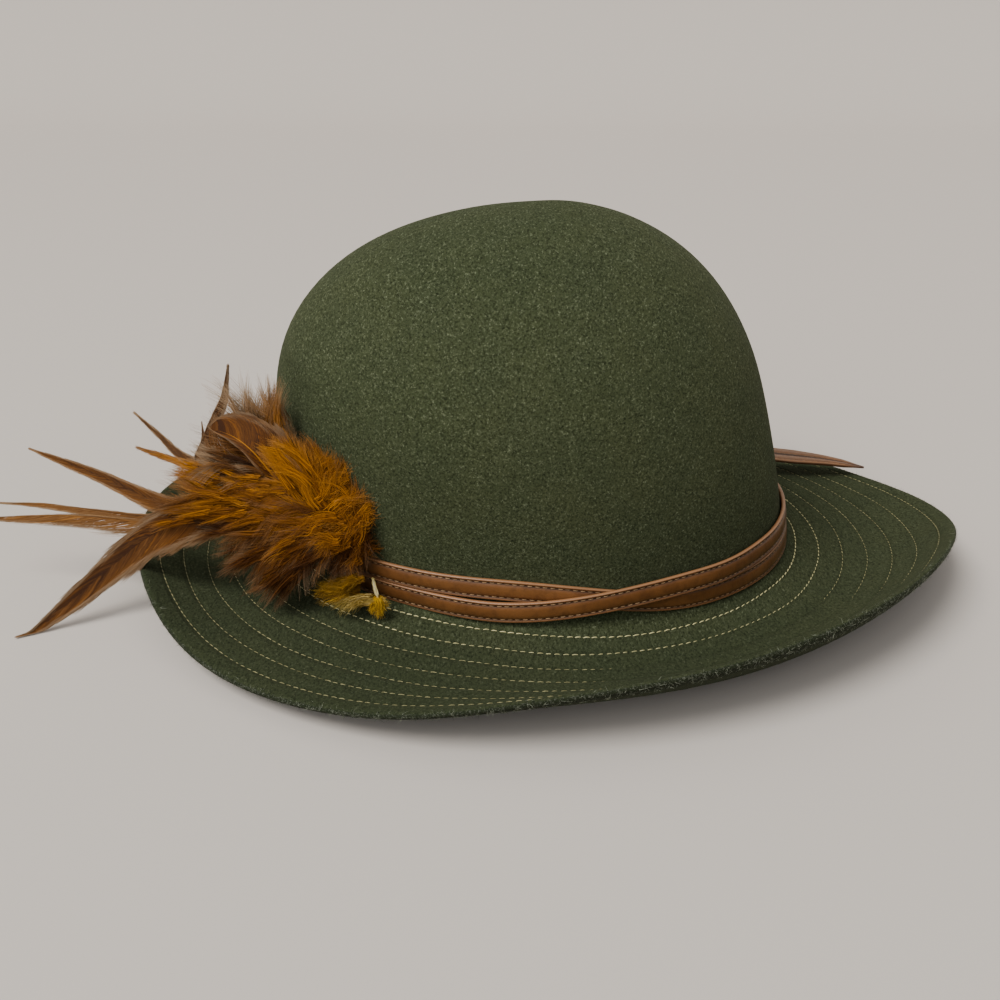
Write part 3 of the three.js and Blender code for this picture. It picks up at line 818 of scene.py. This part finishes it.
def tie(material, thread):
    """Two pointed leather ends that lie out over the brim from a wrap round the straps."""
    ends = [tie_end(beside) for beside in (-TIE_BESIDE, TIE_BESIDE)]
    parts, values = zip(*(end[:2] for end in ends), tie_wrap())
    rim, furrow_and_shade = np.concatenate(values).T
    leather_piece("tie_leather", *joined(parts), rim, furrow_and_shade, material, "strap_tie")
    lines = np.concatenate([stitches for _, _, stitches in ends])
    radii = np.broadcast_to(STRAP_THREAD_RADII, lines.shape[:2])
    threads("tie_stitches", lines, radii, np.full(len(lines), 0.5), thread, ANY_WAY)


# Feathers


class Barbs:
    """Collects the barbs and quills of one piece."""

    def __init__(self):
        self.parts = []
        self.values = {"tone": [], "along": [], "brown": []}

    def add(self, part, shape, **values):
        """The points and faces of barbs, with values that fit the shape in which the points are laid out."""
        self.parts.append(part)
        for key, value in values.items():
            self.values[key].append(np.broadcast_to(np.clip(value, 0, 1), shape).ravel())

    def piece(self, name, material, slot, stands_for):
        mesh = make_mesh(name, *joined(self.parts))
        for key, value in self.values.items():
            add_values(mesh, key, np.concatenate(value))
        show(name, mesh, material, stands_for)


def outside(points, clearance):
    """The points, with those in or near the felt moved out of it, and those under the floor moved up."""
    flat = points.reshape(-1, 3)
    for k in range(len(flat)):
        near, normal, _, _ = felt_tree.find_nearest(Vector(flat[k]), FELT_NEAR)
        if near is not None and (Vector(flat[k]) - near).dot(normal) < clearance:
            flat[k] = near + normal * clearance
    flat[:, 2] = np.maximum(flat[:, 2], FLOOR_CLEARANCE)
    return flat.reshape(points.shape)


class Track:
    """A smooth line through places in the picture, with directions to its left and towards the camera."""

    def __init__(self, path):
        self.line = smooth_line([seen(*p) for p in path], 120)
        self.length = np.linalg.norm(np.diff(self.line, axis=0), axis=1).sum()
        self.along = unit(np.gradient(self.line, axis=0))
        self.left = unit(np.cross(-np.array(camera_axes()[0]), self.along))
        self.high = unit(np.cross(self.along, self.left))

    def sample(self, rows, t):
        return sampled(rows, np.arange(len(self.line)), np.clip(t, 0, 1) * (len(self.line) - 1))

    def point(self, t, left, high):
        """Points at shares t of the length, left and high metres off the line, which goes on past its end."""
        beyond = np.maximum(t - 1, 0)[..., None] * self.length * self.along[-1]
        return (self.sample(self.line, t) + beyond + self.sample(self.left, t) * left[..., None]
                + self.sample(self.high, t) * high[..., None])

    def ribbons(self, t, lines, twist, wide):
        """Barbs along the lines that face the camera but for their twist."""
        heading = unit(np.gradient(lines, axis=1))
        return ribbons(lines, unit(np.cross(heading, self.sample(self.high, t) + twist)) * wide)


def quill(barbs, track, radius, tone, brown):
    line = outside(track.line.copy(), QUILL_CLEARANCE)
    steps = len(line)
    part = tubes(line[None], radius * MM * np.linspace(1, 0.2, steps)[None])
    barbs.add(part, (steps, TUBE_SIDES), tone=tone, along=np.linspace(0.0, 0.5, steps)[:, None], brown=brown)


def vane(barbs, random, path, left, right, reach, count, tone, brown, bare, loose, width, shaft=0.35,
         shaft_tone=0.7, edge_tone=0.0, core=0.0, blunt=1.0):
    """A sleek feather: barbs that leave the quill at a low angle and fill an outline left and right
    millimetres wide. reach is how far along the quill a barb goes, bare the quill's share without barbs,
    loose how much the barbs part, blunt how full the tip is, edge_tone how much lighter the left barbs are,
    core how much darker all are at the quill."""
    track = Track(path)
    size = track.length / MM
    segments = 6
    clumps = 97
    hand = np.where(random.uniform(0, 1, count) < left / (left + right), 1.0, -1.0)
    start = random.uniform(bare, 1, count) ** 0.9
    go = np.minimum(reach * random.uniform(0.75, 1.1, count) / size, 1.04 - start)
    u = np.linspace(0, 1, segments + 1)
    t = start[:, None] + go[:, None] * u
    outline = np.clip((t + 0.06) / 0.28, 0, 1) ** 0.7 * np.clip(1.03 - t, 0, 1) ** (0.75 / blunt)
    outline = outline / outline.max()
    side = np.where(hand > 0, left, right)[:, None] * MM
    clump = np.floor(start * size / 1.6 + 0.4 * hand).astype(int) % clumps
    own = random.normal(0, 1, (clumps, 4))[clump]
    spread = (1 - (1 - u) ** 1.8) * (1 + (0.05 + 0.35 * loose) * own[:, :1] * u
                                    + (0.03 + 0.2 * loose) * random.normal(0, 1, (count, 1)) * u)
    off = hand[:, None] * side * outline * spread
    high = (0.12 + 0.5 * loose * own[:, 1:2] * u ** 1.5 - 14 * (off / MM / 30) ** 2) * MM
    curl = random.normal(0, 1, (count, 1, 3)) * (u ** 3)[:, None] * loose * 2.2 * MM
    lines = outside(track.point(t, off, high) + curl, BARB_CLEARANCE)
    twist = loose * random.normal(0, 0.6, (count, 1, 3))
    wide = width * MM * (1 - 0.9 * u ** 1.6)[:, None] * random.uniform(0.7, 1.2, (count, 1, 1))
    shade = tone + 0.10 * own[:, 2] + random.normal(0, 0.1, count) + edge_tone * (hand > 0)
    natural = brown + 0.10 * own[:, 3] + random.normal(0, 0.06, count)
    barbs.add(track.ribbons(t, lines, twist, wide), (count, segments + 1, 2),
              tone=shade[:, None, None] - core * ((1 - u) ** 2)[:, None], along=u[:, None],
              brown=natural[:, None, None])
    quill(barbs, track, shaft, shaft_tone, brown * 0.7)


def stream(barbs, random, path, widths, wisps, each, long, tone, brown, curl, tuft=1.7, pale=0.0, deep=1.8):
    """Soft barbs in wisps that flow along a path, in millimetres. widths are the stream's widths along it,
    each the number of barbs in a wisp, long the shortest and longest wisp, curl how much the barbs curl,
    tuft the wisp's thickness, pale how far the tips' colour spreads, deep the stream's depth."""
    track = Track(path)
    size = track.length / MM
    segments = 5
    count = wisps * each
    wisp = np.repeat(np.arange(wisps), each)
    go = random.uniform(*long, wisps) / size
    start = random.uniform(0, 1, wisps) * np.maximum(1.02 - go, 0.02)
    beside = random.uniform(-1, 1, wisps)
    deeper = random.normal(0, 1, wisps) * deep
    turn = random.normal(0, 0.22, wisps)
    u = np.linspace(0, 1, segments + 1)
    jitter = random.uniform(-0.12, 0.12, count) * go[wisp]
    t = (start[wisp] + jitter)[:, None] + (go[wisp] * random.uniform(0.6, 1.05, count))[:, None] * u
    t = np.maximum(t, 0)
    across = np.interp(t, np.linspace(0, 1, len(widths)), widths) / 2
    angle = random.uniform(0, FULL_TURN, count)[:, None]
    radius = tuft * random.uniform(0.2, 1, count)[:, None] * (1 - 0.5 * u)
    wave = random.uniform(0, FULL_TURN, wisps)[wisp][:, None]
    bend = (turn[wisp] * go[wisp] * size)[:, None] * u ** 2
    left = beside[wisp][:, None] * across + radius * np.cos(angle) + bend
    left = left + curl * 4 * np.sin(u * 5 + wave) * u
    high = deeper[wisp][:, None] + radius * np.sin(angle) + curl * 4 * np.cos(u * 4 + wave) * u
    stray = random.normal(0, 1, (count, 1, 3)) * (u ** 2)[:, None] * curl * 5 * MM
    swirl = random.normal(0, 1, (count, 1, 3)) * np.sin(u * 6 + angle)[:, :, None] * curl * 1.2 * MM
    lines = outside(track.point(t, left * MM, high * MM) + stray + swirl, BARB_CLEARANCE)
    twist = random.normal(0, 0.5, (count, 1, 3))
    wide = SOFT_BARB * (1 - 0.85 * u ** 1.5)[:, None] * random.uniform(0.7, 1.3, (count, 1, 1))
    shade = (tone + random.normal(0, 0.13, wisps))[wisp] + random.normal(0, 0.16, count)
    natural = (brown + random.normal(0, 0.1, wisps))[wisp] + random.normal(0, 0.05, count)
    barbs.add(track.ribbons(t, lines, twist, wide), (count, segments + 1, 2), tone=shade[:, None, None],
              along=(u + pale)[:, None], brown=natural[:, None, None])


# Paths are places in the picture with their depths, as seen() takes them. Where a row is shorter than its
# columns, the function's own values stand for the rest.
STREAM_COLUMNS = ("path", "widths", "wisps", "each", "long", "tone", "brown", "curl", "tuft", "pale", "deep")
VANE_COLUMNS = ("path", "left", "right", "reach", "count", "tone", "brown", "bare", "loose", "width", "shaft",
                "shaft_tone", "edge_tone", "core", "blunt")

UPPER_STREAMS = [
    # The fan behind, whose pale tips stand up beside the crown
    ([(300, 490, -58), (270, 452, -54), (247, 410, -48), (233, 370, -42)], [6, 8, 9, 8], 34, 32, (14, 30),
     0.42, 0.75, 0.03, 1.7, 0.2),
    ([(306, 492, -58), (280, 452, -54), (262, 410, -48), (251, 371, -44)], [6, 9, 10, 9], 38, 32, (14, 30),
     0.45, 0.65, 0.03, 1.7, 0.2),
    ([(316, 500, -60), (294, 466, -56), (276, 430, -52), (265, 380, -48)], [8, 9, 9, 7], 38, 34, (10, 24),
     0.5, 0.35, 0.05, 1.7, 0.1),
    # The brown fill below the two dark spikes
    ([(256, 472, -58), (236, 454, -55), (221, 434, -52), (213, 412, -48)], [8, 13, 14, 8], 38, 34, (10, 20),
     0.25, 0.3, 0.03),
    # The golden middle of the upper feathers
    ([(334, 512, -68), (308, 484, -67), (288, 462, -65), (268, 440, -62)], [8, 12, 10, 5], 60, 38, (9, 20),
     0.78, 0.04, 0.07),
    # Dark strands that part on the left
    ([(272, 480, -62), (250, 468, -60), (224, 458, -56), (194, 450, -50)], [4, 7, 8, 6], 38, 36, (12, 24),
     0.3, 0.7, 0.04, 1.0, 0.1),
    # Golden clump over the brim's left side
    ([(290, 500, -64), (245, 490, -62), (208, 478, -58), (172, 464, -52)], [6, 11, 12, 6], 60, 38, (9, 20),
     0.7, 0.08, 0.08),
]
MIDDLE_STREAMS = [
    ([(348, 512, -66), (300, 500, -67), (250, 496, -64), (205, 500, -60)], [8, 13, 14, 12], 88, 38, (9, 20),
     0.5, 0.06, 0.08),
    ([(250, 500, -64), (215, 503, -62), (180, 511, -58), (150, 520, -54)], [8, 11, 9, 4], 56, 40, (12, 24),
     0.5, 0.12, 0.04),
    ([(350, 522, -69), (305, 520, -70), (260, 522, -67), (215, 526, -62)], [7, 11, 12, 8], 86, 40, (9, 20),
     0.38, 0.1, 0.07),
    # Low tone: partly the feathers' own dark colour, partly painted shade at the plume's lower left
    ([(262, 517, -66), (230, 522, -63), (200, 530, -60), (176, 541, -57)], [5, 7, 6, 3], 26, 36, (14, 26),
     0.08, 0.25, 0.03, 1.0),
]
# Most lower streams have low tones: partly the feathers' own dark colour, partly painted shade under the
# plume
LOWER_STREAMS = [
    ([(350, 526, -70), (305, 531, -72), (262, 543, -69), (214, 566, -65)], [6, 11, 12, 7], 72, 36, (12, 26),
     0.2, 0.16, 0.05),
    ([(352, 532, -71), (312, 542, -73), (275, 562, -72), (244, 586, -69)], [6, 12, 14, 11], 82, 38, (12, 26),
     0.22, 0.2, 0.05),
    ([(350, 538, -72), (320, 548, -74), (288, 572, -74), (262, 596, -72)], [5, 7, 9, 9], 40, 38, (12, 24),
     0.14, 0.28, 0.05),
    ([(352, 528, -71), (322, 528, -73), (292, 535, -73), (258, 550, -71)], [6, 10, 12, 10], 80, 36, (8, 17),
     0.5, 0.05, 0.1),
    # Short dark strands that hang over the straps
    ([(354, 535, -72), (348, 552, -73), (341, 566, -74), (334, 580, -75)], [7, 7, 6, 4], 28, 36, (6, 13),
     0.12, 0.2, 0.08),
]
DOWN_STREAMS = [
    # Golden down that stands out from the mass over the crown
    ([(312, 492, -67), (326, 477, -66), (336, 464, -64), (342, 452, -62)], [12, 14, 11, 5], 40, 24, (6, 13),
     0.7, 0.0, 0.32),
    ([(334, 530, -71), (350, 514, -71), (362, 503, -70), (370, 496, -68)], [14, 14, 10, 4], 36, 24, (5, 11),
     0.66, 0.0, 0.34),
    ([(356, 545, -70), (351, 522, -69), (342, 496, -66), (328, 468, -62)], [6, 8, 9, 6], 62, 34, (6, 14),
     0.66, 0.0, 0.3),
    ([(346, 520, -66), (330, 490, -62), (314, 464, -58), (296, 440, -54)], [8, 9, 9, 6], 70, 36, (6, 16),
     0.58, 0.06, 0.24),
    ([(338, 545, -72), (348, 535, -72), (357, 524, -70), (364, 512, -68)], [9, 9, 7, 4], 44, 30, (5, 10),
     0.4, 0.0, 0.38),
    ([(350, 555, -71), (362, 550, -70), (374, 546, -69), (386, 541, -68)], [6, 4, 2, 1], 9, 16, (5, 12),
     0.55, 0.0, 0.3),
    ([(348, 530, -73), (336, 532, -74), (324, 532, -75), (308, 540, -75)], [10, 12, 11, 8], 56, 34, (5, 12),
     0.62, 0.0, 0.26),
    ([(358, 528, -71), (356, 543, -72), (350, 558, -73), (342, 570, -74)], [7, 8, 7, 5], 44, 30, (5, 10),
     0.28, 0.1, 0.3),
]

# The long sleek feathers, from the topmost down
BLADES = [
    ([(250, 500, -58), (195, 512, -50), (155, 501, -44), (98, 475, -36), (38, 452, -30)],
     5.0, 4.0, 18, 1500, 0.45, 0.62, 0.1, 0.08, 0.18, 0.3, 0.1, 0.1, 0.3),
    ([(250, 512, -58), (190, 521, -54), (142, 522, -50), (70, 516, -44), (-10, 518, -38)],
     7.0, 1.4, 30, 460, 0.6, 0.85, 0.15, 0.16, 0.11, 0.34, 0.55),
    ([(250, 507, -58), (190, 513, -53), (145, 516, -49), (90, 510, -44), (42, 504, -41), (8, 503, -39)],
     4.6, 1.0, 26, 640, 0.55, 0.85, 0.1, 0.08, 0.15, 0.3, 0.0),
    ([(262, 498, -64), (205, 512, -60), (150, 536, -59), (112, 566, -66), (66, 606, -76), (28, 637, -84)],
     9.6, 7.4, 24, 3100, 0.26, 0.6, 0.06, 0.12, 0.2, 0.34, 0.0, 0.2, 0.25),
    ([(240, 480, -56), (205, 467, -48), (180, 455, -40), (161, 437, -34), (138, 416, -30)],
     2.4, 2.4, 13, 380, 0.25, 1.0, 0.2, 0.1, 0.15, 0.22, 0.1),
    ([(240, 484, -56), (212, 472, -50), (190, 465, -44), (165, 457, -38), (141, 449, -34)],
     2.6, 2.4, 12, 460, 0.6, 0.3, 0.1, 0.16, 0.16, 0.25),
    # The grey edge of the upper feathers, with its two dark spikes
    ([(214, 482, -52), (196, 462, -48), (202, 442, -44), (211, 420, -40), (221, 398, -37), (227, 370, -34)],
     0.5, 5.5, 15, 900, 0.06, 0.55, 0.05, 0.1, 0.15, 0.36, 0.0),
    ([(200, 460, -46), (201, 448, -43), (203, 436, -41), (202, 423, -39)],
     0.7, 0.9, 8, 120, 0.0, 0.5, 0.0, 0.04, 0.16, 0.25, 0.0),
]

# Broad curved feathers in the mass, whose bright quills show
BROAD = [
    ([(292, 498, -63), (277, 480, -63), (263, 463, -63), (250, 449, -62), (234, 437, -59), (212, 428, -56)],
     3.0, 13.5, 13, 2600, 0.12, 0.2, 0.1, 0.05, 0.24, 0.5, 0.85, 0.0, 0.0, 1.9),
    ([(338, 508, -67), (305, 501, -68), (270, 493, -67), (240, 489, -64), (222, 493, -62)],
     6.5, 6.0, 14, 1400, 0.52, 0.04, 0.1, 0.16, 0.18, 0.5, 0.9, 0.0, 0.0, 1.5),
    ([(246, 488, -64), (222, 496, -63), (198, 506, -60), (172, 516, -56), (150, 524, -54)],
     5.0, 4.0, 15, 1200, 0.5, 0.15, 0.1, 0.06, 0.2, 0.42, 0.95, 0.0, 0.0, 1.2),
]

# The yellow tuft, and the small pale feather in it
YELLOW_STREAMS = [
    ([(360, 588, -75), (344, 588, -76), (328, 592, -77), (315, 597, -78)], [4, 6, 5, 2], 40, 26, (6, 13),
     0.36, 0.0, 0.14, 1.3, 0.0, 0.7),
    ([(377, 600, -80), (362, 601, -80), (346, 605, -80), (330, 608, -79)], [2.5, 3.5, 3.5, 1.5], 18, 22,
     (6, 14), 0.42, 0.55, 0.16, 1.2, 0.0, 0.5),
    ([(374, 598, -80), (378, 602, -81), (377, 608, -81), (374, 614, -81)], [3, 4, 3.5, 1.5], 30, 26, (3, 6),
     0.75, 0.0, 0.16, 0.5, 0.0, 0.6),
    ([(376, 597, -80), (381, 600, -80), (385, 604, -80), (389, 607, -80)], [2, 2.5, 2, 1], 9, 20, (2.5, 5),
     0.7, 0.1, 0.14, 0.4, 0.0, 0.5),
    ([(364, 577, -78), (352, 581, -78), (343, 587, -78), (334, 594, -78)], [3, 4, 4, 3], 22, 26, (4, 9),
     0.32, 0.0, 0.16, 1.0, 0.0, 0.6),
]
PALE_FEATHER = [
    ([(378, 598, -81), (375, 588, -80.2), (373, 579, -79.5)],
     0.9, 0.9, 4, 90, 0.9, 0.9, 0.0, 0.1, 0.14, 0.4, 0.9),
]


def grow(barbs, random, make, table):
    """The feathers of one table, made by stream or vane."""
    columns = STREAM_COLUMNS if make is stream else VANE_COLUMNS
    for row in table:
        make(barbs, random, **dict(zip(columns, row)))


def plume(name, make, table, seed, material, stands_for=()):
    """One piece of the plume."""
    barbs = Barbs()
    grow(barbs, np.random.default_rng(seed), make, table)
    barbs.piece(name, material, "plume_feather", stands_for)


def yellow_tuft(material):
    random = np.random.default_rng(34)
    barbs = Barbs()
    grow(barbs, random, stream, YELLOW_STREAMS)
    grow(barbs, random, vane, PALE_FEATHER)
    barbs.piece("feather_tuft_fine", material, "yellow_feather", ["feather_tuft"])


# Stage


def lamp(name, kind, energy, place, aim, **look):
    light = bpy.data.lights.new(name, kind)
    light.energy = energy
    for key, value in look.items():
        setattr(light, key, value)
    item = put(name, light)
    item.location = place
    item.rotation_euler = (Vector(aim) - Vector(place)).to_track_quat("-Z", "Y").to_euler()


def stage():
    """A plain floor that bends up into a plain wall far behind the hat, and soft light."""
    bend = [(2.6 + 1.6 * math.sin(a), 1.6 - 1.6 * math.cos(a)) for a in np.linspace(0, math.pi / 2, 25)]
    profile = [(-6.0, 0.0)] + bend + [(4.2, 6.0)]
    points = [(x, y, z - 0.1 * MM) for y, z in profile for x in (-9.0, 9.0)]
    faces = [(2 * k, 2 * k + 1, 2 * k + 3, 2 * k + 2) for k in range(len(profile) - 1)]
    mesh = make_mesh("floor", np.array(points), faces)
    floor = put("floor", mesh)
    pale = Nodes("floor").finish((0.63, 0.575, 0.52), Roughness=0.9, Specular_IOR_Level=0.1)
    mesh.materials.append(pale)
    world = bpy.data.worlds.new("world")
    bpy.context.scene.world = world
    world.use_nodes = True
    sky = world.node_tree.nodes["Background"].inputs
    sky["Color"].default_value = (0.97, 0.98, 1.0, 1)
    sky["Strength"].default_value = 0.5
    lamp("key", "SUN", 2.7, KEY_FROM, (0, 0, 0), angle=math.radians(32), color=(1.0, 0.98, 0.94))
    lamp("fill", "AREA", 9, FILL_FROM, (0, 0, 0.05), size=1.2)


def camera():
    """A 36 mm lens on a 36 mm wide picture."""
    data = bpy.data.cameras.new("camera")
    data.lens = 36
    data.sensor_width = 36
    item = put("camera", data)
    ahead, right, up = camera_axes()
    turn = Matrix((right, up, -ahead)).transposed().to_4x4()
    item.matrix_world = Matrix.Translation(Vector(CAMERA_PLACE) * MM) @ turn
    bpy.context.scene.camera = item


camera()
stage()
dress_felt()
brim_stitches()
felt_fibres()
leather = leather_material()
strap_thread = thread_material("strap_thread", (0.10, 0.048, 0.020), (0.47, 0.29, 0.145), 700.0)
strap("inner", 21, leather, strap_thread)
strap("outer", 22, leather, strap_thread)
tie(leather, strap_thread)
orange = feather_material(
    "plume_feather", ((0.040, 0.011, 0.0008), (0.18, 0.057, 0.0016), (0.47, 0.18, 0.005)),
    ((0.026, 0.010, 0.003), (0.115, 0.048, 0.013), (0.31, 0.165, 0.065)), (0.42, 0.29, 0.17))
yellow = feather_material(
    "yellow_feather", ((0.06, 0.026, 0.0005), (0.23, 0.105, 0.001), (0.55, 0.31, 0.006)),
    ((0.10, 0.07, 0.01), (0.28, 0.21, 0.045), (0.72, 0.64, 0.36)), (0.42, 0.32, 0.08))
plume("plume_upper", stream, UPPER_STREAMS, 31, orange, ["feather_plume"])
plume("plume_middle", stream, MIDDLE_STREAMS, 32, orange)
plume("plume_lower", stream, LOWER_STREAMS, 33, orange)
plume("plume_down", stream, DOWN_STREAMS, 36, orange)
plume("plume_blades", vane, BLADES, 34, orange)
plume("plume_broad", vane, BROAD, 35, orange)
yellow_tuft(yellow)
